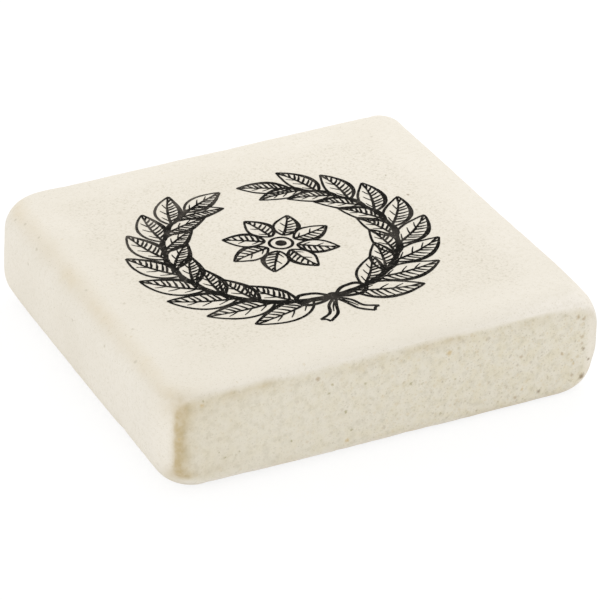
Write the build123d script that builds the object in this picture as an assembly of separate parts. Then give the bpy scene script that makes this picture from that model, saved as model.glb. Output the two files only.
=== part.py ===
"""Block eraser: one moulded pad of natural rubber, tumbled till its edges rolled over, its front trimmed flat."""
import os

from build123d import *

# Finished block, millimetres
LENGTH = 50.0
WIDTH = 48.0
HEIGHT = 11.9

# Upright corners, each worn to a radius of its own
FRONT_LEFT_RADIUS = 4.7
FRONT_RIGHT_RADIUS = 3.8
BACK_RIGHT_RADIUS = 3.5
BACK_LEFT_RADIUS = 6.0

# Rolled edges round the two broad faces
TOP_ROLL_RADIUS = 3.2
BOTTOM_ROLL_RADIUS = 3.2

# Slice taken off the front after tumbling, and the small break along the edges that it left
FRONT_TRIM = 1.15
TRIM_EDGE_RADIUS = 0.6

# A roll stays inside the tightest upright corner that it turns round
ROLL_LIMIT_SHARE = 0.97


def plan():
    """Outline of the untrimmed block seen from above, its back where the finished back is."""
    rough_width = WIDTH + FRONT_TRIM
    outline = Rectangle(LENGTH, rough_width)
    radii = {
        (-1, -1): FRONT_LEFT_RADIUS,
        (1, -1): FRONT_RIGHT_RADIUS,
        (1, 1): BACK_RIGHT_RADIUS,
        (-1, 1): BACK_LEFT_RADIUS,
    }
    for (side_x, side_y), radius in radii.items():
        corner_point = Vector(side_x * LENGTH / 2, side_y * rough_width / 2)
        corner = outline.vertices().sort_by_distance(corner_point)[0]
        outline = fillet(corner, radius)
    return Pos(0, -FRONT_TRIM / 2) * outline


def tumbled():
    """Upright block from the plan, with the edges of its top and bottom rolled over."""
    body = extrude(plan(), amount=HEIGHT)
    tightest_corner = min(FRONT_LEFT_RADIUS, FRONT_RIGHT_RADIUS, BACK_RIGHT_RADIUS, BACK_LEFT_RADIUS)
    roll_limit = ROLL_LIMIT_SHARE * tightest_corner
    top_edges = body.faces().sort_by(Axis.Z)[-1].edges()
    body = fillet(top_edges, min(TOP_ROLL_RADIUS, roll_limit))
    bottom_edges = body.faces().sort_by(Axis.Z)[0].edges()
    return fillet(bottom_edges, min(BOTTOM_ROLL_RADIUS, roll_limit))


def block():
    """Tumbled block with its front sliced flat and the new edges broken."""
    slice_middle = Pos(0, -WIDTH / 2 - FRONT_TRIM, HEIGHT / 2)
    front_slice = slice_middle * Box(2 * LENGTH, 2 * FRONT_TRIM, 2 * HEIGHT)
    body = tumbled() - front_slice
    trim_edges = body.faces().sort_by(Axis.Y)[0].edges()
    return fillet(trim_edges, TRIM_EDGE_RADIUS)


os.makedirs("parts", exist_ok=True)
rubber_block = block()
export_step(rubber_block, "parts/rubber_block.step")
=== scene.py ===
"""Block eraser: a worn pad of cream natural rubber with a stamped leaf wreath, on a pale floor."""
import math
import random

import bpy
import numpy as np
from mathutils import Matrix, Vector, geometry, kdtree, noise


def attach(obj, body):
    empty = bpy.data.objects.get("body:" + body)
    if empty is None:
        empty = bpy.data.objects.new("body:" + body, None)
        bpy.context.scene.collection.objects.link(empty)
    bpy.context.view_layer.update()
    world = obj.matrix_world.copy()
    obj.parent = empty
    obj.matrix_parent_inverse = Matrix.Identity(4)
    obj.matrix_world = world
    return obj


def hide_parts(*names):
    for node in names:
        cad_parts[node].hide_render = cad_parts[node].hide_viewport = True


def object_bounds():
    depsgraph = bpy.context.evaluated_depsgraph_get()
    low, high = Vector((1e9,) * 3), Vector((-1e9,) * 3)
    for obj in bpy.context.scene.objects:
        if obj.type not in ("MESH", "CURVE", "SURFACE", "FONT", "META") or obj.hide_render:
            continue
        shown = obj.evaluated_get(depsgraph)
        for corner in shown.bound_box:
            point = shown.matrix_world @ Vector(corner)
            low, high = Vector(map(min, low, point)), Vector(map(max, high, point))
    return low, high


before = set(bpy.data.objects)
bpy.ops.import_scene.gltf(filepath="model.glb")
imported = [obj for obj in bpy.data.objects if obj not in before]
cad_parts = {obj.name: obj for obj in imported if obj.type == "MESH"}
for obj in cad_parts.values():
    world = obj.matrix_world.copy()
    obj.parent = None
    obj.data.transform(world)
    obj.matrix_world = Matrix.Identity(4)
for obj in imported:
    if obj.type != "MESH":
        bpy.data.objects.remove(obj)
cad_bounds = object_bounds()

MM = 0.001

# Finished block in millimetres, as the frame has it, and the places of its left and front faces
LENGTH, WIDTH, HEIGHT = (round((high - low) / MM, 3) for low, high in zip(*cad_bounds))
LEFT, FRONT = -LENGTH / 2, -WIDTH / 2

# Wear from corner to corner: front left, front right, back right, back left
HIGH_CORNER_RADII = (5.00, 4.40, 3.10, 6.30)
LOW_CORNER_RADII = (4.49, 5.60, 3.10, 4.90)
CORNER_TURNS = ((6.5, 10.5), (1.8, 5.2), (3.5, 8.0), (3.0, 11.0))
TOP_ROLLS = (2.45, 4.26, 1.85, 3.60)
BOTTOM_ROLLS = (4.15, 2.75, 3.27, 3.00)

# Corners rolled more or less than their sides: which corner, added to the top and to the bottom roll, reach
CORNER_WEAR = (((1, -1), 0.40, 0.0, 4.0), ((-1, -1), -1.0, 0.0, 2.6), ((-1, 1), -0.95, 0.80, 4.6))

# Slice off the front and the break along its edges, each at the left end and at the right end
TRIMS = (0.86, 1.36)
TRIM_BREAKS = (0.36, 0.56)

# Mesh of the block
SPACING = 0.30
FEWEST_CELLS = 4
FIRST_ROUNDING = 2.4
PROJECTION_STEPS = 10
SLOPE_STEP = 0.002
TINY = 1e-9


def along_front(ends, x):
    """From the value at the left end to that at the right end."""
    return ends[0] + (ends[1] - ends[0]) * np.clip(x / LENGTH + 0.5, 0, 1)


def spread(values, x, y):
    """Values at the four corners, blended over the plan."""
    front_left, front_right, back_right, back_left = values
    v = np.clip(y / WIDTH + 0.5, 0, 1)
    return (1 - v) * along_front((front_left, front_right), x) + v * along_front((back_left, back_right), x)


def ease(low, high, value):
    """0 at low and beyond it, 1 at high and beyond it, smooth between; low may be the larger one."""
    t = np.clip((value - low) / (high - low), 0, 1)
    return t * t * (3 - 2 * t)


def corner_radius(x, y, z):
    """Radius of the nearest upright corner, which may change from low down to high up."""
    front_left, front_right, back_right, back_left = [
        low + (high - low) * ease(*turn, z)
        for low, high, turn in zip(LOW_CORNER_RADII, HIGH_CORNER_RADII, CORNER_TURNS)
    ]
    return np.where(x < 0, np.where(y < 0, front_left, back_left), np.where(y < 0, front_right, back_right))


def plan_distance(x, y, z):
    """Distance outside the untrimmed outline seen from above, negative inside."""
    radius = corner_radius(x, y, z)
    across = np.abs(x) - LENGTH / 2 + radius
    along = np.abs(y) - WIDTH / 2 - np.where(y < 0, along_front(TRIMS, x), 0) + radius
    outside = np.hypot(np.maximum(across, 0), np.maximum(along, 0))
    return np.minimum(np.maximum(across, along), 0) + outside - radius


def tumbled_distance(p):
    """Distance outside the untrimmed block with its edges rolled over, negative inside."""
    x, y, z = p.T
    top_roll, bottom_roll = spread(TOP_ROLLS, x, y), spread(BOTTOM_ROLLS, x, y)
    for (side_x, side_y), top_more, bottom_more, reach in CORNER_WEAR:
        corner_x, corner_y = side_x * LENGTH / 2, side_y * WIDTH / 2
        near = np.exp(-((x - corner_x) ** 2 + (y - corner_y) ** 2) / (2 * reach ** 2))
        top_roll = top_roll + top_more * near
        bottom_roll = bottom_roll + bottom_more * near
    radius = np.where(z > HEIGHT / 2, top_roll, bottom_roll)
    side = plan_distance(x, y, z) + radius
    level = np.abs(z - HEIGHT / 2) - HEIGHT / 2 + radius
    outside = np.hypot(np.maximum(side, 0), np.maximum(level, 0))
    return np.minimum(np.maximum(side, level), 0) + outside - radius


def slice_distance(p):
    """Distance in front of the plane that the front was sliced along."""
    return FRONT - p[:, 1]


def block_distance(p):
    """Distance outside the block with its front sliced flat, negative inside."""
    body, front = tumbled_distance(p), slice_distance(p)
    soft = along_front(TRIM_BREAKS, p[:, 0])
    outside = np.hypot(np.maximum(body + soft, 0), np.maximum(front + soft, 0))
    return np.minimum(np.maximum(body, front), -soft) + outside


def block_normal(p):
    """Outward direction of the block's surface nearest to each point."""
    slope = np.zeros_like(p)
    for axis in range(3):
        step = np.zeros(3)
        step[axis] = SLOPE_STEP
        slope[:, axis] = block_distance(p + step) - block_distance(p - step)
    return slope / np.maximum(np.linalg.norm(slope, axis=1, keepdims=True), TINY)


def lattice():
    """Points and quads of a box's surface on an even lattice, with shared edges."""
    counts = [max(FEWEST_CELLS, round(size / SPACING)) for size in (LENGTH, WIDTH, HEIGHT)]
    nx, ny, nz = counts
    index = -np.ones((nx + 1, ny + 1, nz + 1), dtype=np.int64)
    shell = np.zeros(index.shape, dtype=bool)
    shell[0], shell[-1] = True, True
    shell[:, 0], shell[:, -1] = True, True
    shell[:, :, 0], shell[:, :, -1] = True, True
    cells = np.argwhere(shell)
    index[shell] = np.arange(len(cells))
    low = np.array([LEFT, FRONT, 0.0])
    size = np.array([LENGTH, WIDTH, HEIGHT])
    points = low + cells / np.array(counts) * size
    quads = []
    for sheet, flip in (
        (index[0], True), (index[-1], False),
        (index[:, 0], False), (index[:, -1], True),
        (index[:, :, 0], True), (index[:, :, -1], False),
    ):
        ring = [sheet[:-1, :-1], sheet[1:, :-1], sheet[1:, 1:], sheet[:-1, 1:]]
        if flip:
            ring.reverse()
        quads.append(np.stack([part.ravel() for part in ring], axis=1))
    return points, np.concatenate(quads)


def block_points():
    """The lattice drawn in to the rounded block."""
    points, quads = lattice()
    half = np.array([LENGTH / 2, WIDTH / 2, HEIGHT / 2])
    middle = np.array([0.0, 0.0, HEIGHT / 2])
    core = np.clip(points - middle, -(half - FIRST_ROUNDING), half - FIRST_ROUNDING)
    reach = points - middle - core
    points = middle + core + FIRST_ROUNDING * reach / np.linalg.norm(reach, axis=1, keepdims=True)
    for _ in range(PROJECTION_STEPS):
        points = points - block_distance(points)[:, None] * block_normal(points)
    return points, quads


# How far each seed moves the noise, so that no two of its uses are alike
SEED_SHIFT = (17.3, 5.1, 11.7)


def ripple(points, wavelength, seed):
    """Smooth noise from about -1 to 1 over the points."""
    shift = Vector([seed * step for step in SEED_SHIFT])
    return np.array([noise.noise(Vector(p) / wavelength + shift) for p in points.tolist()])


# Unevenness of the moulded and tumbled surface: wavelength, height, seed
LUMPS = ((13.0, 0.075, 1), (5.0, 0.030, 2), (1.7, 0.010, 3), (0.8, 0.008, 4))
EDGE_LUMPS = (3.2, 0.032, 5)

# How far a normal has turned off the nearest axis where the edge lumps begin and where they are full
EDGE_TURN = (0.04, 0.22)

# How far the surface is set in, so that its lumps stay inside the smooth block
SURFACE_SINK = 0.105

# Pores: how many on the broad faces and on the walls, which slope parts these, radii, depths, reach in radii
PIT_SEED = 41
BROAD_PITS, WALL_PITS = 380, 420
BROAD_SLOPE = 0.9
PIT_RADII, PIT_DEPTHS = (0.22, 0.42), (0.02, 0.07)
PIT_REACH = 2.2

# Nick low on the left face: place along the face and up it, half sizes, depth, and the layer it is in
NICK_PLACE, NICK_SIZE, NICK_DEPTH = (-11.95, 2.84), (0.75, 0.9), 0.26
NICK_LAYER = 3.0


def sunk_pits(points, normals):
    """Small pores: how deep each point lies in one."""
    depth = np.zeros(len(points))
    tree = kdtree.KDTree(len(points))
    for i, p in enumerate(points.tolist()):
        tree.insert(p, i)
    tree.balance()
    dice = random.Random(PIT_SEED)
    broad = np.flatnonzero(np.abs(normals[:, 2]) > BROAD_SLOPE)
    walls = np.flatnonzero(np.abs(normals[:, 2]) <= BROAD_SLOPE)
    for group, count in ((broad, BROAD_PITS), (walls, WALL_PITS)):
        for _ in range(count):
            centre = points[group[dice.randrange(len(group))]]
            radius = dice.uniform(*PIT_RADII)
            deep = dice.uniform(*PIT_DEPTHS)
            for _, i, distance in tree.find_range(centre, PIT_REACH * radius):
                depth[i] = max(depth[i], deep * math.exp(-(distance / radius) ** 2))
    return depth


def nicked(points):
    """How deep each point lies in the nick."""
    x, y, z = points.T
    away = ((y - NICK_PLACE[0]) / NICK_SIZE[0]) ** 2 + ((z - NICK_PLACE[1]) / NICK_SIZE[1]) ** 2
    return np.where(x < LEFT + NICK_LAYER, NICK_DEPTH * np.exp(-away), 0)


def worn(points):
    """Points of the block after wear, and the normals that it had before."""
    normals = block_normal(points)
    edge = ease(*EDGE_TURN, 1 - np.max(np.abs(normals), axis=1))
    rise = np.zeros(len(points))
    for wavelength, height, seed in LUMPS:
        rise += height * ripple(points, wavelength, seed)
    wavelength, height, seed = EDGE_LUMPS
    rise += height * edge * ripple(points, wavelength, seed)
    rise -= sunk_pits(points, normals)
    rise -= nicked(points)
    rise = np.minimum(rise - SURFACE_SINK, 0)
    return points + rise[:, None] * normals, normals


def band(value, middle, width):
    """1 at the middle, falling away to either side."""
    return np.exp(-((value - middle) / width) ** 2)


def at_least(floor, share):
    """A share from 0 to 1 that starts from a floor in place of 0."""
    return floor + (1 - floor) * share


# Patches that break up stains: wavelength, seed, and the levels of the noise that they fade in between
LARGE_PATCHES = (4.5, 8, -0.45, 0.55)
SMALL_PATCHES = (1.3, 9, -0.5, 0.5)
CLOSE_PATCHES = (0.7, 10, -0.5, 0.3)


def patches(points, wavelength, seed, low, high):
    """Patches over the points, from 0 to 1."""
    return ease(low, high, ripple(points, wavelength, seed))


# Stain along the edges of the slice: where each run fades in, along x, up z or behind the slice
LEFT_END, RIGHT_END, BOTTOM_RUN = (-14.0, -19.0), (17.0, 22.0), (-23.0, -15.0)
LOW_DOWN, OFF_TOP, UNDER_TOP = (2.9, 1.8), (HEIGHT - 0.6, HEIGHT - 2.2), (HEIGHT - 3.4, HEIGHT - 2.2)
ON_SLICE = (0.22, 0.04)

# The left edge has a core, and fades over its round side and over its sliced side
EDGE_CORE, ROUND_FADE, SLICED_FADE = 0.12, 0.42, 0.34

# The others lie in bands: distance from the edge, width
RIGHT_BAND, RIDGE_BAND, RIDGE_PATCH_BAND, BOTTOM_BAND = (0.15, 0.5), (0.50, 0.42), (0.15, 0.30), (0.05, 0.5)

# How strong each one is, and how much of it is left between patches
LEFT_STAIN, RIGHT_STAIN, RIDGE_STAIN, RIDGE_PATCH_STAIN, BOTTOM_STAIN = 1.36, 0.40, 0.20, 0.22, 0.20
LEFT_FLOOR, RIGHT_FLOOR, RIDGE_FLOOR, SPOT_FLOOR = 0.62, 0.3, 0.45, 0.7

# Stains by themselves: middle, reach each way, strength
SPOT_STAINS = (
    ((-23.6, FRONT + 0.4, 3.2), (0.9, 1.2, 0.9), 0.45),
    ((-22.7, FRONT + 0.4, 10.7), (2.6, 2.2, 1.7), 0.38),
    ((-22.9, FRONT + 0.4, 11.3), (1.2, 0.8, 0.5), 0.24),
    ((-23.6, FRONT + 1.0, 2.4), (0.8, 0.9, 0.7), 0.32),
    ((-17.5, FRONT, 10.9), (0.7, 0.5, 0.4), 0.26),
    ((-14.1, FRONT, 10.9), (1.2, 0.5, 0.35), 0.26),
    ((-3.5, FRONT, 9.95), (0.8, 0.5, 0.55), 0.32),
    ((-1.6, FRONT, 10.6), (1.0, 0.5, 0.45), 0.22),
    ((2.4, FRONT, 10.5), (1.3, 0.5, 0.35), 0.40),
    ((3.9, FRONT, 10.3), (0.5, 0.5, 0.6), 0.28),
    ((6.2, FRONT, 10.6), (1.3, 0.5, 0.35), 0.20),
)


def stains(points, large, small):
    """Ochre stain along the crisp edges of the slice, from 0 to 1, where handling has left it."""
    x, _, z = points.T
    off_slice, off_block = -slice_distance(points), -tumbled_distance(points)
    crisp = np.maximum(off_slice, 0) + np.maximum(off_block, 0)
    low = ease(*LOW_DOWN, z)
    upright = ease(*OFF_TOP, z) * (1 - low)
    under = ease(*ON_SLICE, off_slice) * ease(*UNDER_TOP, z)

    round_side, sliced_side = np.maximum(off_slice - EDGE_CORE, 0), np.maximum(off_block - EDGE_CORE, 0)
    left_edge = band(round_side, 0, ROUND_FADE) * np.exp(-sliced_side / SLICED_FADE)
    close = patches(points, *CLOSE_PATCHES)
    stain = LEFT_STAIN * upright * ease(*LEFT_END, x) * left_edge * at_least(LEFT_FLOOR, close)
    right_edge = band(crisp, *RIGHT_BAND) * large * at_least(RIGHT_FLOOR, small)
    stain += RIGHT_STAIN * upright * ease(*RIGHT_END, x) * right_edge
    stain += RIDGE_STAIN * under * band(off_block, *RIDGE_BAND) * at_least(RIDGE_FLOOR, large)
    stain += RIDGE_PATCH_STAIN * under * band(off_block, *RIDGE_PATCH_BAND) * large * small
    stain += BOTTOM_STAIN * low * ease(*BOTTOM_RUN, x) * band(crisp, *BOTTOM_BAND) * large * small
    for middle, reach, strength in SPOT_STAINS:
        away = np.linalg.norm((points - np.array(middle)) / np.array(reach), axis=1)
        stain += strength * np.exp(-away ** 2) * at_least(SPOT_FLOOR, large)
    return np.clip(stain, 0, 1)


# Yellow on the rolled edges: strength, and tilt from level and its width in degrees
LEFT_YELLOW, LEFT_TILT = 0.34, (30.0, 22.0)
FAR_YELLOW, FAR_TILT = 0.08, (42.0, 16.0)
LOW_YELLOW, LOW_TILT = 0.25, (135.0, 22.0)
LEFT_YELLOW_FLOOR, LEFT_PATCH_FLOOR, FAR_YELLOW_FLOOR, LOW_YELLOW_FLOOR = 0.38, 0.4, 0.2, 0.3
FACING = (0.5, 0.92)


def yellowing(normals, large, small):
    """Faint yellow along the rolled edges, from 0 to 1, most on the left one."""
    tilt = np.degrees(np.arccos(np.clip(normals[:, 2], -1, 1)))
    level = np.hypot(normals[:, 0], normals[:, 1]) + TINY

    def facing(x, y):
        return ease(*FACING, (normals[:, 0] * x + normals[:, 1] * y) / level)

    left_patches = at_least(LEFT_YELLOW_FLOOR, large * at_least(LEFT_PATCH_FLOOR, small))
    yellow = LEFT_YELLOW * band(tilt, *LEFT_TILT) * facing(-1, 0) * left_patches
    far_sides = np.maximum(facing(1, 0), facing(0, 1))
    yellow += FAR_YELLOW * band(tilt, *FAR_TILT) * far_sides * at_least(FAR_YELLOW_FLOOR, large * small)
    yellow += LOW_YELLOW * band(tilt, *LOW_TILT) * large * at_least(LOW_YELLOW_FLOOR, small)
    return np.clip(yellow, 0, 1)


# Grey of the slice: how far behind it and up to where along it, and the clean corner over its right end
SOIL_LAYER, SOIL_END = (0.22, 0.0), (23.3, 22.2)
CLEAN_RUN, CLEAN_FADE = (17.0, 21.0), (-0.1, 0.5)
CLEAN_DROP, CLEAN_MORE_DROP, CLEAN_MORE_RUN = 1.4, 0.85, (16.0, 24.0)


def soil(points):
    """How grey and speckled a face is: the sliced front shows the filler, the moulded faces hardly."""
    x, _, z = points.T
    sliced = ease(*SOIL_LAYER, -slice_distance(points)) * ease(*SOIL_END, x)
    clean_level = HEIGHT - CLEAN_DROP - CLEAN_MORE_DROP * ease(*CLEAN_MORE_RUN, x)
    return sliced * (1 - ease(*CLEAN_RUN, x) * ease(*CLEAN_FADE, z - clean_level))


# Top darker towards the front and the left, part wear from handling and part painted shade where less light
# falls towards the front: how fast it darkens along x and y, range, slope of the top, patches, lighter right
# end
HELD_SHADE_X, HELD_SHADE_Y = -0.50, -0.65
DULL_SHADE_RANGE, DULL_SHADE_SLOPE = (-0.7, 0.6), (0.55, 0.9)
DULL_SHADE_WAVELENGTH, DULL_SHADE_SEED, DULL_SHADE_PATCHES = 11.0, 13, 0.25
BRIGHTER_RUN, BRIGHTER_SHARE = (7.0, 20.0), 0.7


def wear_and_painted_shade(points, normals):
    """How dark the top is painted, from 0 to 1: more towards the front and the left, partly dulled where it
    is held and partly painted shade where less light falls; less at the right end.
    """
    x, y, _ = points.T
    toward = (HELD_SHADE_Y * y + HELD_SHADE_X * x) / (WIDTH / 2)
    uneven = DULL_SHADE_PATCHES * ripple(points, DULL_SHADE_WAVELENGTH, DULL_SHADE_SEED)
    dull_and_shade = ease(*DULL_SHADE_RANGE, toward + uneven) * ease(*DULL_SHADE_SLOPE, normals[:, 2])
    return dull_and_shade * (1 - BRIGHTER_SHARE * ease(*BRIGHTER_RUN, x))


# Painted highlight on the rolled edge over the right end of the front: run along the front, reach behind it,
# and the slopes that it fades in and out between
HIGHLIGHT_RUN, HIGHLIGHT_REACH = (11.0, 20.0), (FRONT + 5.5, FRONT + 2.0)
HIGHLIGHT_STEEP, HIGHLIGHT_LEVEL = (0.25, 0.55), (0.98, 0.84)


def painted_highlight(points, normals):
    """How much painted highlight the rolled edge over the right end of the front gets, from 0 to 1."""
    right_end = ease(*HIGHLIGHT_RUN, points[:, 0]) * ease(*HIGHLIGHT_REACH, points[:, 1])
    return right_end * ease(*HIGHLIGHT_STEEP, normals[:, 2]) * ease(*HIGHLIGHT_LEVEL, normals[:, 2])


# Stippled middle of the top: distance from the sides, how its limit wavers, slope of the top
STIPPLE_INSET, STIPPLE_SLOPE = (4.4, 7.6), (0.9, 0.98)
STIPPLE_WAVELENGTH, STIPPLE_SEED, STIPPLE_WAVER = 3.0, 15, 1.2


def stippling(points, normals):
    """How stippled the top is, from 0 to 1: its middle, where the stamp was pressed on, not its margins."""
    inset = np.minimum(LENGTH / 2 - np.abs(points[:, 0]), WIDTH / 2 - np.abs(points[:, 1]))
    waver = STIPPLE_WAVER * ripple(points, STIPPLE_WAVELENGTH, STIPPLE_SEED)
    return ease(*STIPPLE_INSET, inset + waver) * ease(*STIPPLE_SLOPE, normals[:, 2])


def new_mesh(name, points, faces):
    """Smooth mesh from points in millimetres, linked to the scene."""
    mesh = bpy.data.meshes.new(name)
    mesh.from_pydata((np.asarray(points) * MM).tolist(), [], [list(map(int, f)) for f in faces])
    mesh.shade_smooth()
    mesh.update()
    piece = bpy.data.objects.new(name, mesh)
    bpy.context.scene.collection.objects.link(piece)
    return piece


def add_values(piece, name, values):
    """A named value at each point, for the material."""
    layer = piece.data.attributes.new(name, "FLOAT", "POINT")
    layer.data.foreach_set("value", np.asarray(values, dtype=np.float32))


smooth_points, block_quads = block_points()
block_verts, block_normals = worn(smooth_points)
block = new_mesh("rubber_pad", block_verts, block_quads)
large_patches = patches(smooth_points, *LARGE_PATCHES)
small_patches = patches(smooth_points, *SMALL_PATCHES)
add_values(block, "stain", stains(smooth_points, large_patches, small_patches))
add_values(block, "yellowing", yellowing(block_normals, large_patches, small_patches))
add_values(block, "soil", soil(smooth_points))
# Painted shade and wear from handling towards the front left of the top
add_values(block, "wear_and_painted_shade", wear_and_painted_shade(smooth_points, block_normals))
# Painted highlight on the rolled edge over the right end of the front
add_values(block, "painted_highlight", painted_highlight(smooth_points, block_normals))
add_values(block, "stippling", stippling(smooth_points, block_normals))
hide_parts("rubber_block")
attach(block, "root")


# Stamped design: strokes in millimetres on the top face
INK_LIFT = 0.022
INK_STEP = 0.22
FEWEST_STEPS = 3
MERGE_LIMIT = 1e-5

# Ragged edge of the ink: how far it creeps, waves per millimetre, seeds
RAGGED = 0.028
RAGGED_WAVES = 2.3
STROKE_SEED, DISC_SEED, SECOND_SEED = 1.0, 4.0, 9.0
DISC_POINTS = 18


def curve_through(knots, count):
    """Smooth line through knots."""
    knots = [np.array(k, float) for k in knots]
    knots = [2 * knots[0] - knots[1]] + knots + [2 * knots[-1] - knots[-2]]
    spans = len(knots) - 3
    line = []
    for i in range(count):
        s = i / (count - 1) * spans
        k = min(int(s), spans - 1)
        t = s - k
        a, b, c, d = knots[k:k + 4]
        square, cube = 2 * a - 5 * b + 4 * c - d, 3 * b - a - 3 * c + d
        line.append(0.5 * (2 * b + (c - a) * t + square * t ** 2 + cube * t ** 3))
    return np.array(line)


def resampled(line):
    """The line with points about a step apart, and its share of the way at each."""
    gaps = np.linalg.norm(np.diff(line, axis=0), axis=1)
    way = np.concatenate([[0], np.cumsum(gaps)])
    count = max(FEWEST_STEPS, int(way[-1] / INK_STEP) + 1)
    s = np.linspace(0, way[-1], count)
    return np.stack([np.interp(s, way, line[:, 0]), np.interp(s, way, line[:, 1])], axis=1), s / way[-1]


def ragged(outline, seed):
    """Ink creeps a little unevenly at the edge of a stroke."""
    moved = []
    for x, y in outline:
        u, v = x * RAGGED_WAVES, y * RAGGED_WAVES
        moved.append((
            x + RAGGED * noise.noise(Vector((u, v, seed))),
            y + RAGGED * noise.noise(Vector((u, v, seed + SECOND_SEED))),
        ))
    return moved


def stroke(line, start, middle, end):
    """Outline of a pen stroke along a line, its width going from start through middle to end."""
    line, share = resampled(np.asarray(line, float))
    width = np.interp(share, (0, 0.5, 1), (start, middle, end))
    way = np.gradient(line, axis=0)
    way /= np.linalg.norm(way, axis=1, keepdims=True)
    side = np.stack([-way[:, 1], way[:, 0]], axis=1) * width[:, None] / 2
    return ragged(np.concatenate([line + side, (line - side)[::-1]]), STROKE_SEED)


def disc(centre, radius):
    """Outline of a round spot of ink."""
    turn = np.linspace(0, 2 * math.pi, DISC_POINTS, endpoint=False)
    ring = np.stack([centre[0] + radius * np.cos(turn), centre[1] + radius * np.sin(turn)], axis=1)
    return ragged(ring, DISC_SEED)


# Leaf: steps along it, where it points along its heading, how its half breadth swells, width of its midrib
LEAF_STEPS = 39
LEAF_STRAIGHT = 0.2
LEAF_LEAN, LEAF_BLUNT = 0.82, 0.9
RIB_WIDTHS = (0.36, 0.28, 0.14)

# Its two sides: widths of the rim and of a vein, steps that a vein leans ahead, share of the side it spans
LIT_SIDE = ((0.30, 0.32, 0.24), (0.21, 0.17, 0.10), 6, 0.60)
SHADED_SIDE = ((0.30, 0.56, 0.24), (0.27, 0.28, 0.10), 5, 0.88)

# Its veins: share of the way to the first and from the first to the last, how far each sags, points, counts
FIRST_VEIN, VEIN_RUN = 0.14, 0.66
VEIN_SAG, VEIN_POINTS = 0.012, 9
LEAF_VEINS = (4, 8)


def leaf(base, heading, length, breadth, bend, veins=LEAF_VEINS):
    """One leaf: midrib, outline and veins, which are closer and darker on its right side, in the shade."""
    share = np.linspace(0, 1, LEAF_STEPS + 1)
    turn = math.radians(heading) + math.radians(bend) * (share - LEAF_STRAIGHT)
    ahead = np.stack([np.cos(turn), np.sin(turn)], axis=1)
    rib = np.array(base) + np.concatenate([[[0, 0]], np.cumsum(ahead[1:] * length / LEAF_STEPS, axis=0)])
    normal = np.stack([-ahead[:, 1], ahead[:, 0]], axis=1)
    half = breadth / 2 * np.sin(np.pi * share ** LEAF_LEAN) ** LEAF_BLUNT
    shapes = [stroke(rib, *RIB_WIDTHS)]
    for side, look, count in zip((1, -1), (LIT_SIDE, SHADED_SIDE), veins):
        rim_widths, vein_widths, lean, span = look
        shapes.append(stroke(rib + side * half[:, None] * normal, *rim_widths))
        for k in range(count):
            i = int((FIRST_VEIN + VEIN_RUN * k / (count - 1)) * LEAF_STEPS)
            j = min(LEAF_STEPS, i + lean)
            foot = rib[i]
            tip = rib[j] + side * half[j] * span * normal[j]
            middle = (foot + tip) / 2 - VEIN_SAG * length * ahead[i]
            shapes.append(stroke(curve_through([foot, middle, tip], VEIN_POINTS), *vein_widths))
    return shapes


# Wreath of two leafy branches, open at the back; angles in degrees
WREATH_MIDDLE = (-1.0, -0.4)
WREATH_RADIUS = 12.4
BRANCH_START, BRANCH_END = -101.0, 60.0
STEM_STEPS, STEM_WIDTHS = 90, (0.85, 0.56, 0.30)
HEADING_STEP = 0.01

# Leaves along a branch: length, breadth, turn off the stem, bend, side of the stem, lag in its pair
OUTER_LEAF = (7.6, 3.3, 33.0, -22.0, 1, 0.0)
INNER_LEAF = (6.4, 2.8, 31.0, 20.0, -1, 0.045)
LEAF_PAIRS = 8
FIRST_PAIR, PAIR_RUN, PAIR_SHRINK = 0.135, 0.775, 0.16
TIP_LENGTH, TIP_BREADTH, TIP_BEND = 5.8, 2.5, 12.0


def branch(hand):
    """One branch of the wreath: the right one with hand 1, the left one with hand -1."""
    middle = np.array(WREATH_MIDDLE)

    def on_arc(share):
        a = math.radians(BRANCH_START + (BRANCH_END - BRANCH_START) * share)
        return middle + WREATH_RADIUS * np.array([hand * math.cos(a), math.sin(a)])

    def heading(start, end):
        ahead = on_arc(end) - on_arc(start)
        return math.degrees(math.atan2(ahead[1], ahead[0]))

    shapes = [stroke([on_arc(i / STEM_STEPS) for i in range(STEM_STEPS + 1)], *STEM_WIDTHS)]
    for k in range(LEAF_PAIRS):
        along = k / (LEAF_PAIRS - 1)
        size = 1.0 - PAIR_SHRINK * along
        for length, breadth, turn, bend, out, lag in (OUTER_LEAF, INNER_LEAF):
            share = FIRST_PAIR + lag + PAIR_RUN * along
            turned = heading(share, share + HEADING_STEP) - hand * out * turn
            shapes += leaf(on_arc(share), turned, length * size, breadth * size, -hand * out * bend)
    tip_heading = heading(1.0 - HEADING_STEP, 1.0)
    return shapes + leaf(on_arc(1.0), tip_heading, TIP_LENGTH, TIP_BREADTH, hand * TIP_BEND)


# Rosette in the middle of the wreath: petals, ring round its heart, heart
PETALS, PETAL_TURN = 8, 11.0
PETAL_FOOT, PETAL_LENGTH, PETAL_BREADTH, PETAL_BEND = 1.75, 4.5, 2.7, 10.0
PETAL_VEINS = (3, 6)
RING_RADIUS, RING_POINTS, RING_WIDTHS = 1.25, 37, (0.34, 0.34, 0.34)
HEART_RADIUS = 0.62


def rosette():
    """Flower in the middle of the wreath."""
    middle = np.array(WREATH_MIDDLE)
    shapes = []
    for k in range(PETALS):
        heading = 360.0 * k / PETALS + PETAL_TURN
        out = np.array([math.cos(math.radians(heading)), math.sin(math.radians(heading))])
        foot = middle + PETAL_FOOT * out
        shapes += leaf(foot, heading, PETAL_LENGTH, PETAL_BREADTH, PETAL_BEND, PETAL_VEINS)
    turn = np.linspace(0, 2 * math.pi, RING_POINTS)
    ring = middle + RING_RADIUS * np.stack([np.cos(turn), np.sin(turn)], axis=1)
    return shapes + [stroke(ring, *RING_WIDTHS), disc(middle, HEART_RADIUS)]


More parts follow.
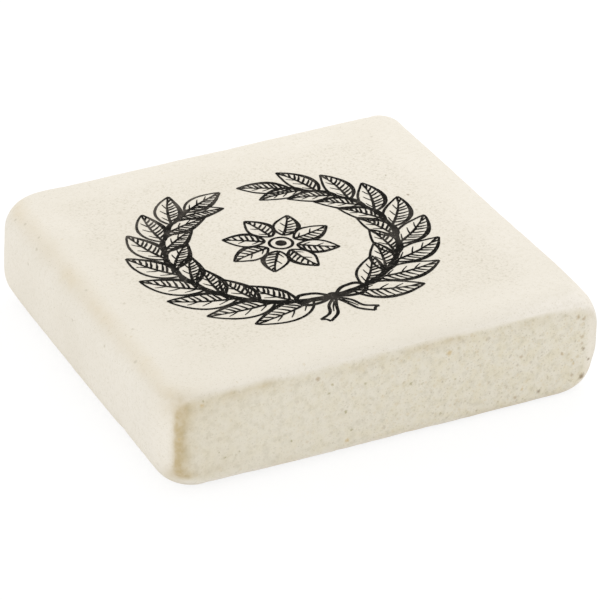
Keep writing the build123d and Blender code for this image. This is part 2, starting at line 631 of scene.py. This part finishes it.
# Bow, from its knot and to the right: its loop, the two edges of its tail, the notch at the end, a crease
KNOT_RADIUS = 0.78
LOOP = ((0.3, 0.2), (1.5, 1.25), (3.2, 1.5), (3.9, 0.5), (3.1, -0.6), (1.5, -0.6), (0.3, -0.1))
OUTER_TAIL = ((0.25, -0.4), (1.3, -1.5), (1.9, -2.9), (3.3, -3.7))
INNER_TAIL = ((0.05, -0.6), (0.6, -1.8), (1.2, -3.3), (2.5, -4.4))
TAIL_NOTCH = ((2.75, -3.85),)
TAIL_CREASE = ((0.4, -0.95), (1.0, -1.9), (1.4, -2.8))
LOOP_POINTS, TAIL_POINTS, CREASE_POINTS = 60, 30, 12
LOOP_WIDTHS, TAIL_WIDTHS = (0.40, 0.52, 0.40), (0.36, 0.35, 0.34)
NOTCH_WIDTHS, CREASE_WIDTHS = (0.32, 0.32, 0.32), (0.26, 0.19, 0.12)

# Creases in the loop: foot and tip of the first, and how far each next one moves
LOOP_CREASES = 4
FOOT, FOOT_MOVE = (0.75, -0.1), (0.35, -0.04)
TIP, TIP_MOVE = (1.05, 0.35), (0.5, 0.06)


def bow():
    """Tied ribbon where the branches cross."""
    knot = np.array(WREATH_MIDDLE) + np.array([0.0, -WREATH_RADIUS])

    def placed(hand, spots):
        return [knot + np.array([hand * x, y]) for x, y in spots]

    shapes = [disc(knot, KNOT_RADIUS)]
    for hand in (1, -1):
        shapes.append(stroke(curve_through(placed(hand, LOOP), LOOP_POINTS), *LOOP_WIDTHS))
        for k in range(LOOP_CREASES):
            foot = np.array(FOOT) + k * np.array(FOOT_MOVE)
            tip = np.array(TIP) + k * np.array(TIP_MOVE)
            shapes.append(stroke(placed(hand, (foot, tip)), *CREASE_WIDTHS))
        outer, inner = placed(hand, OUTER_TAIL), placed(hand, INNER_TAIL)
        for edge in (outer, inner):
            shapes.append(stroke(curve_through(edge, TAIL_POINTS), *TAIL_WIDTHS))
        shapes.append(stroke([outer[-1]] + placed(hand, TAIL_NOTCH) + [inner[-1]], *NOTCH_WIDTHS))
        shapes.append(stroke(curve_through(placed(hand, TAIL_CREASE), CREASE_POINTS), *CREASE_WIDTHS))
    return shapes


def stamp():
    """All strokes of the stamped design."""
    return branch(1) + branch(-1) + bow() + rosette()


def inside(points, outline):
    """Which points lie inside a closed outline."""
    x, y = points[:, 0:1], points[:, 1:2]
    a = np.asarray(outline)
    b = np.roll(a, -1, axis=0)
    spans = (a[:, 1] > y) != (b[:, 1] > y)
    rise = np.where(b[:, 1] == a[:, 1], 1.0, b[:, 1] - a[:, 1])
    crossing = (b[:, 0] - a[:, 0]) * (y - a[:, 1]) / rise + a[:, 0]
    return (spans & (x < crossing)).sum(axis=1) % 2 == 1


def ink_mesh(shapes):
    """All strokes merged into one flat net of triangles."""
    points, edges = [], []
    for outline in shapes:
        first, count = len(points), len(outline)
        edges += [(first + i, first + (i + 1) % count) for i in range(count)]
        points += [Vector(p) for p in outline]
    made, _, triangles, _, _, _ = geometry.delaunay_2d_cdt(points, edges, [], 0, MERGE_LIMIT)
    flat = np.array([(p.x, p.y) for p in made])
    triangles = np.array(triangles)
    middles = flat[triangles].mean(axis=1)
    inked = np.zeros(len(triangles), dtype=bool)
    for outline in shapes:
        low, high = np.min(outline, axis=0), np.max(outline, axis=0)
        near = np.flatnonzero(np.all((middles >= low) & (middles <= high), axis=1) & ~inked)
        inked[near[inside(middles[near], outline)]] = True
    kept = triangles[inked]
    used, kept = np.unique(kept, return_inverse=True)
    return flat[used], kept.reshape(-1, 3)


def top_level(flat):
    """Height of the worn top under each point, taken from the pad's own surface."""
    levels = []
    for x, y in flat:
        found, place, _, _ = block.ray_cast(Vector((x * MM, y * MM, 2 * HEIGHT * MM)), Vector((0, 0, -1)))
        levels.append(place.z / MM if found else HEIGHT)
    return np.array(levels)


bpy.context.view_layer.update()
ink_flat, ink_triangles = ink_mesh(stamp())
ink_points = np.column_stack([ink_flat, top_level(ink_flat) + INK_LIFT])
ink = new_mesh("stamped_wreath", ink_points, ink_triangles)
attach(ink, "root")


# Materials
def tone(red, green, blue):
    """A colour given as it shows on a screen, 0 to 255."""
    shares = [c / 255 for c in (red, green, blue)]
    return tuple(c / 12.92 if c <= 0.04045 else ((c + 0.055) / 1.055) ** 2.4 for c in shares) + (1.0,)


class Graph:
    """Short calls for a material's nodes."""

    def __init__(self, name):
        self.material = bpy.data.materials.new(name)
        self.material.use_nodes = True
        self.tree = self.material.node_tree
        self.tree.nodes.clear()
        self.output = self.tree.nodes.new("ShaderNodeOutputMaterial")

    def feed(self, socket, value):
        """Links another node's output to a socket, or sets a constant on it."""
        if isinstance(value, bpy.types.NodeSocket):
            self.tree.links.new(value, socket)
        else:
            socket.default_value = value

    def node(self, kind, inputs=(), **settings):
        """A new node with its settings and inputs."""
        made = self.tree.nodes.new(kind)
        for key, value in settings.items():
            setattr(made, key, value)
        for key, value in dict(inputs).items():
            self.feed(made.inputs[key], value)
        return made

    def math(self, operation, a, b=0.0, c=0.0, clamp=False):
        """An operation on up to three values."""
        made = self.node("ShaderNodeMath", {0: a, 1: b, 2: c}, operation=operation)
        made.use_clamp = clamp
        return made.outputs[0]

    def times(self, a, b):
        """One value times another."""
        return self.math("MULTIPLY", a, b)

    def scaled(self, vector, factor):
        """A vector times a number."""
        return self.node("ShaderNodeVectorMath", {0: vector, "Scale": factor}, operation="SCALE").outputs[0]

    def added(self, a, b):
        """The sum of two vectors."""
        return self.node("ShaderNodeVectorMath", {0: a, 1: b}, operation="ADD").outputs[0]

    def ramp(self, value, low, high, least=0.0, most=1.0):
        """A value that goes smoothly from least at low to most at high."""
        made = self.node(
            "ShaderNodeMapRange",
            {"Value": value, "From Min": low, "From Max": high, "To Min": least, "To Max": most},
            interpolation_type="SMOOTHSTEP",
        )
        return made.outputs["Result"]

    def mix(self, share, a, b):
        """Colour a with a share of colour b over it."""
        made = self.node("ShaderNodeMix", data_type="RGBA", blend_type="MIX")
        self.feed(made.inputs["Factor"], share)
        self.feed(made.inputs[6], a)
        self.feed(made.inputs[7], b)
        return made.outputs[2]

    def millimetres(self):
        """Place on the piece in millimetres."""
        return self.scaled(self.node("ShaderNodeTexCoord").outputs["Object"], 1 / MM)

    def noise(self, place, wavelength, detail, rough):
        """Noise from 0 to 1 of a wavelength in millimetres."""
        made = self.node(
            "ShaderNodeTexNoise",
            {"Vector": place, "Scale": 1 / wavelength, "Detail": detail, "Roughness": rough},
        )
        return made.outputs["Fac"]

    def speckle(self, place, wavelength, detail, rough, **fade):
        """Noise that shows between two of its levels, which fade holds for ramp."""
        return self.ramp(self.noise(place, wavelength, detail, rough), **fade)

    def cells(self, place, size, flat):
        """Distance to the middle of the nearest cell, in cells, and three chances that the cell has."""
        made = self.node("ShaderNodeTexVoronoi", voronoi_dimensions="2D" if flat else "3D")
        self.feed(made.inputs["Vector"], place)
        self.feed(made.inputs["Scale"], 1 / size)
        split = self.node("ShaderNodeSeparateColor", {"Color": made.outputs["Color"]})
        return made.outputs["Distance"], split.outputs

    def attribute(self, name):
        """A named value of the piece's points."""
        return self.node("ShaderNodeAttribute", attribute_name=name).outputs["Fac"]

    def coat(self, colour, roughness, gloss):
        """The shader of the surface, linked to the material's output."""
        shader = self.node("ShaderNodeBsdfPrincipled", {"Base Color": colour})
        shader.inputs["Roughness"].default_value = roughness
        shader.inputs["Specular IOR Level"].default_value = gloss
        self.feed(self.output.inputs["Surface"], shader.outputs[0])
        return shader


# Rubber: colours
CREAM = tone(242, 236, 224)
CREAM_SHADE = tone(233, 226, 211)
# Paler cream for the painted highlight on the rolled edge
CREAM_HIGHLIGHT = tone(250, 244, 234)
SOILED = tone(230, 224, 208)
MOTTLED = tone(219, 207, 166)
YELLOWED = tone(220, 197, 148)
OCHRE = tone(198, 180, 142)
FLECK_PALE = tone(211, 203, 184)
FLECK_GREY = tone(172, 163, 134)
FLECK_OCHRE = tone(204, 180, 128)
FLECK_OLIVE = tone(166, 156, 112)
FLECK_TAN = tone(178, 156, 122)
FLECK_BROWN = tone(138, 116, 86)

# Rubber: noise, and the levels and shares that it shows between
CLOUD = dict(wavelength=9.0, detail=2.0, rough=0.5, low=0.35, high=0.80, most=0.45)
PORES = dict(wavelength=0.17, detail=2.0, rough=0.6, low=0.56, high=0.78, most=0.35)
STIPPLE_DOTS = dict(wavelength=0.27, detail=2.0, rough=0.6, low=0.48, high=0.74, most=0.27)
STAIN_BREAKS = dict(wavelength=0.8, detail=3.0, rough=0.6, low=0.28, high=0.66, least=0.72)
MOTTLE = dict(wavelength=1.5, detail=3.0, rough=0.6, low=0.40, high=0.66)
BLOTCHES = dict(wavelength=0.8, detail=3.0, rough=0.6, low=0.42, high=0.75, most=0.22)
GRAIN = dict(wavelength=0.45, detail=3.0, rough=0.65)
GRAIN_SHOWS = dict(low=0.42, high=0.78, most=0.7)
FINE_RELIEF = dict(wavelength=0.16, detail=2.0, rough=0.6)

# Rubber: shares of the painted shade and wear of handling, of the painted highlight on the rolled edge and
# of the stipple's shade
HELD_AND_SHADE_SHARE, HIGHLIGHT_SHARE, STIPPLE_SHADE = 0.40, 0.65, 0.24

# Specks in the stipple: cell, fade from the cell's middle, chance, share
SPECK_CELL, SPECK_FADE, SPECK_CHANCE, SPECK_SHARE = 0.62, (0.34, 0.12), 0.24, 0.24

# Slice: run from its cleaner left end to its right end, share of the mottle at the left, added at the right
SLICE_RUN = (-22.0, 12.0)
MOTTLE_SHARE, MOTTLE_MORE = 0.10, 0.13

# Flecks of filler: on the slice alone, cell, largest radius, chance, share of their colour
FLECK_LAYERS = (
    (True, 0.42, 0.14, 0.30, 0.30), (True, 0.60, 0.25, 0.30, 0.15), (True, 1.20, 0.36, 0.30, 0.24),
    (False, 1.20, 0.26, 0.14, 0.22), (False, 0.80, 0.12, 0.12, 0.30),
)
SMALLEST_FLECK, FLECK_CORE = 0.4, 0.75
FLECK_CHANCE_MORE, FLECK_LEFT_SHARE = 0.35, 0.50
FLECK_WARMTH, OCHRE_CHANCE, BROWN_CHANCE = 0.12, (0.48, 0.58), (0.90, 0.95)

# How far flecks are bent out of round: wavelength, detail, reach
BEND_WAVELENGTH, BEND_DETAIL, BEND_REACH = 0.25, 1.0, 0.30

# Bits of filler that show by themselves: place in millimetres, radius, colour
TOP_SPECK = HEIGHT - 0.05
INCLUSIONS = (
    ((22.4, FRONT + 0.1, 2.0), 0.36, FLECK_BROWN), ((17.2, FRONT, 1.6), 0.22, FLECK_BROWN),
    ((15.2, FRONT, 2.4), 0.20, FLECK_OCHRE), ((22.1, FRONT, 6.9), 0.22, FLECK_TAN),
    ((22.3, FRONT, 5.4), 0.22, FLECK_BROWN), ((22.1, FRONT, 6.1), 0.20, FLECK_TAN),
    ((21.5, FRONT, 9.4), 0.26, FLECK_TAN), ((22.2, FRONT, 9.0), 0.22, FLECK_TAN),
    ((14.9, FRONT, 6.4), 0.20, FLECK_TAN), ((19.75, FRONT, 5.5), 0.20, FLECK_TAN),
    ((23.1, FRONT + 0.1, 3.9), 0.18, FLECK_BROWN), ((21.2, FRONT, 3.9), 0.20, FLECK_OCHRE),
    ((21.1, FRONT, 2.5), 0.18, FLECK_TAN), ((14.4, FRONT, 1.6), 0.22, FLECK_TAN),
    ((-20.7, FRONT, 10.3), 0.24, FLECK_OCHRE), ((-8.3, FRONT, 10.0), 0.22, FLECK_TAN),
    ((6.4, FRONT, 9.1), 0.30, FLECK_OCHRE), ((16.3, 3.5, TOP_SPECK), 0.18, FLECK_BROWN),
    ((-23.2, FRONT + 0.1, 7.1), 0.20, FLECK_OCHRE), ((-7.1, FRONT, 8.0), 0.18, FLECK_OLIVE),
    ((-6.7, FRONT, 8.9), 0.15, FLECK_OLIVE), ((-3.0, FRONT, 8.0), 0.17, FLECK_OLIVE),
    ((2.1, FRONT, 6.6), 0.20, FLECK_OLIVE), ((3.5, FRONT, 6.2), 0.16, FLECK_OLIVE),
    ((7.2, FRONT, 5.8), 0.16, FLECK_OLIVE), ((-5.2, FRONT, 5.3), 0.18, FLECK_OLIVE),
    ((-4.5, FRONT, 3.0), 0.15, FLECK_OLIVE), ((-5.0, FRONT, 1.9), 0.24, FLECK_OCHRE),
    ((1.9, FRONT, 1.6), 0.16, FLECK_OLIVE), ((5.6, FRONT, 2.1), 0.16, FLECK_OLIVE),
    ((-1.9, FRONT, 3.5), 0.15, FLECK_OLIVE), ((-0.8, FRONT, 3.2), 0.14, FLECK_OLIVE),
    ((-16.9, FRONT, 9.8), 0.15, FLECK_OLIVE), ((-20.6, FRONT, 10.8), 0.16, FLECK_OLIVE),
    ((-17.3, FRONT, 10.9), 0.16, FLECK_OLIVE), ((-16.9, FRONT, 4.0), 0.12, FLECK_OLIVE),
    ((-18.4, FRONT, 3.7), 0.14, FLECK_OLIVE), ((-19.0, FRONT, 4.5), 0.11, FLECK_OLIVE),
    ((-11.2, FRONT, 3.6), 0.14, FLECK_OLIVE), ((LEFT + 0.1, 12.0, 8.9), 0.17, FLECK_PALE),
    ((LEFT + 0.1, -0.6, 8.6), 0.19, FLECK_PALE), ((LEFT + 0.9, 11.4, 10.8), 0.17, FLECK_PALE),
    ((LEFT + 1.7, 12.6, 11.4), 0.16, FLECK_PALE), ((LEFT + 1.5, 16.2, 11.3), 0.17, FLECK_PALE),
    ((LEFT + 1.1, 18.0, 11.0), 0.17, FLECK_PALE), ((LEFT + 1.9, -0.3, 11.6), 0.18, FLECK_PALE),
    ((LEFT + 0.3, -9.0, 10.0), 0.16, FLECK_PALE), ((LEFT + 1.1, -15.0, 11.25), 0.19, FLECK_PALE),
    ((LEFT + 3.0, -9.9, 11.8), 0.17, FLECK_PALE), ((LEFT + 0.5, 9.4, 11.2), 0.19, FLECK_PALE),
    ((LEFT + 4.2, -4.9, 11.8), 0.17, FLECK_PALE), ((15.5, 0.1, TOP_SPECK), 0.13, FLECK_GREY),
    ((16.2, 8.6, TOP_SPECK), 0.12, FLECK_GREY), ((16.7, 11.4, TOP_SPECK), 0.12, FLECK_GREY),
)
BIT_RIM, BIT_CORE, BIT_SHARE = 1.6, 0.3, 0.75

# Relief of the rubber: shares of the fine noise, the grain and the flecks, strength, height in millimetres
FINE_SHARE, GRAIN_SHARE, HOLE_SHARE = 0.5, 0.8, 0.4
RELIEF_STRENGTH, RELIEF_HEIGHT = 0.4, 0.05
RUBBER_ROUGHNESS, RUBBER_GLOSS = 0.86, 0.2


def moulded_colour(g, place, grain, dirt):
    """Clouded cream with pores, darker where it is held and with painted shade towards the front, with a
    painted highlight on the rolled edge over the right end of the front, greyer on the slice.
    """
    colour = g.mix(g.speckle(place, **CLOUD), CREAM, CREAM_SHADE)
    # Darker towards the front left: partly wear from handling, partly painted shade
    colour = g.mix(g.times(g.attribute("wear_and_painted_shade"), HELD_AND_SHADE_SHARE), colour, CREAM_SHADE)
    # Painted highlight on the rolled edge over the right end of the front
    colour = g.mix(g.times(g.attribute("painted_highlight"), HIGHLIGHT_SHARE), colour, CREAM_HIGHLIGHT)
    colour = g.mix(dirt, colour, SOILED)
    colour = g.mix(g.ramp(grain, **GRAIN_SHOWS), colour, CREAM_SHADE)
    return g.mix(g.speckle(place, **PORES), colour, FLECK_GREY)


def stippled(g, place, colour):
    """The colour with the stipple of the top over it: a shade, dots and specks."""
    stipple = g.attribute("stippling")
    colour = g.mix(g.times(stipple, STIPPLE_SHADE), colour, CREAM_SHADE)
    colour = g.mix(g.times(g.speckle(place, **STIPPLE_DOTS), stipple), colour, FLECK_GREY)
    away, chance = g.cells(place, SPECK_CELL, False)
    specks = g.times(g.ramp(away, *SPECK_FADE), g.math("LESS_THAN", chance[0], SPECK_CHANCE))
    return g.mix(g.times(specks, g.times(stipple, SPECK_SHARE)), colour, FLECK_GREY)


def stained(g, place, colour):
    """The colour with yellow and ochre stains over it."""
    breaks = g.speckle(place, **STAIN_BREAKS)
    colour = g.mix(g.times(g.attribute("yellowing"), breaks), colour, YELLOWED)
    return g.mix(g.times(g.attribute("stain"), breaks), colour, OCHRE)


def mottled(g, place, dirt, right_end, colour):
    """The colour with the mottle and the blotches of the slice over it."""
    mottle = g.times(g.speckle(place, **MOTTLE), dirt)
    share = g.math("MULTIPLY_ADD", right_end, MOTTLE_MORE, MOTTLE_SHARE)
    colour = g.mix(g.times(mottle, share), colour, MOTTLED)
    return g.mix(g.times(g.speckle(place, **BLOTCHES), dirt), colour, FLECK_GREY)


def bent_place(g, place):
    """The place moved a little to and fro, so that flecks aren't round."""
    inputs = {"Vector": place, "Scale": 1 / BEND_WAVELENGTH, "Detail": BEND_DETAIL}
    moves = g.node("ShaderNodeTexNoise", inputs).outputs["Color"]
    about_zero = g.added(moves, (-0.5, -0.5, -0.5))
    return g.added(place, g.scaled(about_zero, BEND_REACH))


def flecked(g, bent, sheet, dirt, right_end, colour):
    """The colour with flecks of filler over it, and how deep a place lies in one."""
    holes = None
    on_slice = g.times(dirt, g.math("MULTIPLY_ADD", right_end, 1 - FLECK_LEFT_SHARE, FLECK_LEFT_SHARE))
    for slice_only, size, largest, common, share in FLECK_LAYERS:
        away, chance = g.cells(sheet if slice_only else bent, size, slice_only)
        likely = g.math("MULTIPLY_ADD", right_end, FLECK_CHANCE_MORE, common) if slice_only else common
        smallest = largest * SMALLEST_FLECK
        radius = g.math("MULTIPLY_ADD", chance[1], largest - smallest, smallest)
        dot = g.math("SUBTRACT", 1.0, g.math("DIVIDE", g.times(away, size), radius), clamp=True)
        dot = g.times(g.ramp(dot, 0.0, FLECK_CORE), g.math("LESS_THAN", chance[0], likely))
        if slice_only:
            dot = g.times(dot, on_slice)
        kind = g.math("MULTIPLY_ADD", right_end, FLECK_WARMTH, chance[2])
        fleck = g.mix(g.ramp(kind, *OCHRE_CHANCE), FLECK_GREY, FLECK_OCHRE)
        fleck = g.mix(g.ramp(kind, *BROWN_CHANCE), fleck, FLECK_BROWN)
        colour = g.mix(g.times(dot, share), colour, fleck)
        holes = dot if holes is None else g.math("MAXIMUM", holes, dot)
    return colour, holes


def with_inclusions(g, bent, colour):
    """The colour with the bits of filler that show by themselves over it."""
    for centre, radius, tint in INCLUSIONS:
        away = g.node("ShaderNodeVectorMath", {0: bent, 1: centre}, operation="DISTANCE").outputs["Value"]
        colour = g.mix(g.ramp(away, radius * BIT_RIM, radius * BIT_CORE, most=BIT_SHARE), colour, tint)
    return colour


def rubber():
    """Cream rubber: clean moulded faces, a greyer sliced front full of flecks, and stains."""
    g = Graph("cream_rubber")
    place = g.millimetres()
    bent = bent_place(g, place)
    axes = g.node("ShaderNodeSeparateXYZ", {0: bent}).outputs
    sheet = g.node("ShaderNodeCombineXYZ", {0: axes[0], 1: axes[2]}).outputs[0]
    right_end = g.ramp(axes[0], *SLICE_RUN)
    dirt = g.attribute("soil")
    grain = g.noise(place, **GRAIN)

    colour = moulded_colour(g, place, grain, dirt)
    colour = stippled(g, place, colour)
    colour = stained(g, place, colour)
    colour = mottled(g, place, dirt, right_end, colour)
    colour, holes = flecked(g, bent, sheet, dirt, right_end, colour)
    colour = with_inclusions(g, bent, colour)

    fine = g.noise(place, **FINE_RELIEF)
    relief = g.math("MULTIPLY_ADD", fine, FINE_SHARE, g.times(grain, GRAIN_SHARE))
    relief = g.math("SUBTRACT", relief, g.times(holes, HOLE_SHARE))
    height = {"Strength": RELIEF_STRENGTH, "Distance": RELIEF_HEIGHT * MM, "Height": relief}
    shader = g.coat(colour, RUBBER_ROUGHNESS, RUBBER_GLOSS)
    g.feed(shader.inputs["Normal"], g.node("ShaderNodeBump", height).outputs[0])
    return g.material


# Ink: full, grey and broken by pores; it is greyer towards the back left, and thinner in clouds
INK_FULL, INK_GREY, INK_BROKEN = tone(14, 12, 7), tone(104, 98, 90), tone(150, 143, 132)
GREYER_SLANT, GREYER_RUN = 0.55, (7.0, 21.0)
GREYER_PATCHES = dict(wavelength=1.6, detail=2.0, rough=0.5, low=0.30, high=0.66)
THIN_CLOUDS = dict(wavelength=3.2, detail=2.0, rough=0.5, low=0.50, high=0.72, most=0.30)
INK_PORES = dict(wavelength=0.22, detail=2.0, rough=0.6, low=0.58, high=0.70)
GREY_SHARE, PORE_SHARE = 0.85, 0.40
INK_ROUGHNESS, INK_GLOSS = 0.80, 0.06


def stamp_ink():
    """Black stamping ink, greyer towards the back left and worn thin in clouds."""
    g = Graph("stamp_ink")
    place = g.millimetres()
    axes = g.node("ShaderNodeSeparateXYZ", {0: place}).outputs
    back_left = g.math("SUBTRACT", axes[1], g.times(axes[0], GREYER_SLANT))
    greyer = g.times(g.ramp(back_left, *GREYER_RUN), g.speckle(place, **GREYER_PATCHES))
    greyer = g.math("MAXIMUM", greyer, g.speckle(place, **THIN_CLOUDS))
    colour = g.mix(g.times(greyer, GREY_SHARE), INK_FULL, INK_GREY)
    colour = g.mix(g.times(g.speckle(place, **INK_PORES), PORE_SHARE), colour, INK_BROKEN)
    g.coat(colour, INK_ROUGHNESS, INK_GLOSS)
    return g.material


block.data.materials.append(rubber())
ink.data.materials.append(stamp_ink())


# Floor, in metres: it shows partly as plain white to the camera
FLOOR_SIZE = 3.0
FLOOR_GREY = (0.95, 0.95, 0.95, 1.0)
WHITE = (1.0, 1.0, 1.0, 1.0)
FLOOR_GLOW, FLOOR_WHITE_SHARE = 1.08, 0.75


def floor_material():
    """Pale matt floor, washed out towards white where the camera sees it."""
    g = Graph("pale_floor")
    seen = g.node("ShaderNodeLightPath").outputs["Is Camera Ray"]
    matt = g.node("ShaderNodeBsdfDiffuse", {"Color": FLOOR_GREY})
    white = g.node("ShaderNodeEmission", {"Color": WHITE, "Strength": FLOOR_GLOW})
    share = g.times(seen, FLOOR_WHITE_SHARE)
    both = g.node("ShaderNodeMixShader", {0: share, 1: matt.outputs[0], 2: white.outputs[0]})
    g.feed(g.output.inputs["Surface"], both.outputs[0])
    return g.material


half_floor = FLOOR_SIZE / 2
floor_corners = [(x * half_floor, y * half_floor, 0) for x, y in ((-1, -1), (1, -1), (1, 1), (-1, 1))]
floor_mesh = bpy.data.meshes.new("floor")
floor_mesh.from_pydata(floor_corners, [], [(0, 1, 2, 3)])
floor = bpy.data.objects.new("floor", floor_mesh)
bpy.context.scene.collection.objects.link(floor)
floor.data.materials.append(floor_material())

# Light: an even white surround, and soft boxes aimed at the block: name, place and side in metres, watts
SURROUND = 0.79
SOFT_BOXES = (
    ("left_softbox", (-0.75, 0.05, 0.30), 0.5, 0.66),
    ("front_softbox", (-0.10, -0.75, 0.30), 0.5, 0.78),
    ("back_softbox", (0.20, 0.22, 0.24), 0.2, 0.38),
)

world = bpy.data.worlds.new("studio")
bpy.context.scene.world = world
world.use_nodes = True
world.node_tree.nodes["Background"].inputs["Color"].default_value = WHITE
world.node_tree.nodes["Background"].inputs["Strength"].default_value = SURROUND


def soft_light(name, place, size, power):
    """Square soft box aimed at the origin."""
    lamp = bpy.data.lights.new(name, "AREA")
    lamp.shape = "SQUARE"
    lamp.size = size
    lamp.energy = power
    made = bpy.data.objects.new(name, lamp)
    made.location = place
    made.rotation_euler = (-Vector(place)).to_track_quat("-Z", "Y").to_euler()
    bpy.context.scene.collection.objects.link(made)


for soft_box in SOFT_BOXES:
    soft_light(*soft_box)

# Camera fitted to the outline in the photograph: place in millimetres, its own axes, focal length in pixels
EYE = Vector((-106.202, -219.1, 145.101))
RIGHT = Vector((0.898055, -0.439878, 0.002125))
AHEAD = Vector((0.381823, 0.777113, -0.500306))
FOCAL_PIXELS, FRAME_PIXELS, SENSOR = 2620.6, 600.0, 36.0
NEAREST, FARTHEST = 0.01, 20.0

camera_data = bpy.data.cameras.new("camera")
camera_data.sensor_width = SENSOR
camera_data.sensor_fit = "HORIZONTAL"
camera_data.lens = FOCAL_PIXELS / FRAME_PIXELS * SENSOR
camera_data.clip_start = NEAREST
camera_data.clip_end = FARTHEST
camera = bpy.data.objects.new("camera", camera_data)
across = RIGHT.normalized()
back = -AHEAD.normalized()
up = back.cross(across)
camera.matrix_world = Matrix.Translation(EYE * MM) @ Matrix((across, up, back)).transposed().to_4x4()
bpy.context.scene.collection.objects.link(camera)
bpy.context.scene.camera = camera
bpy.context.scene.view_settings.view_transform = "Standard"

bpy.context.view_layer.update()
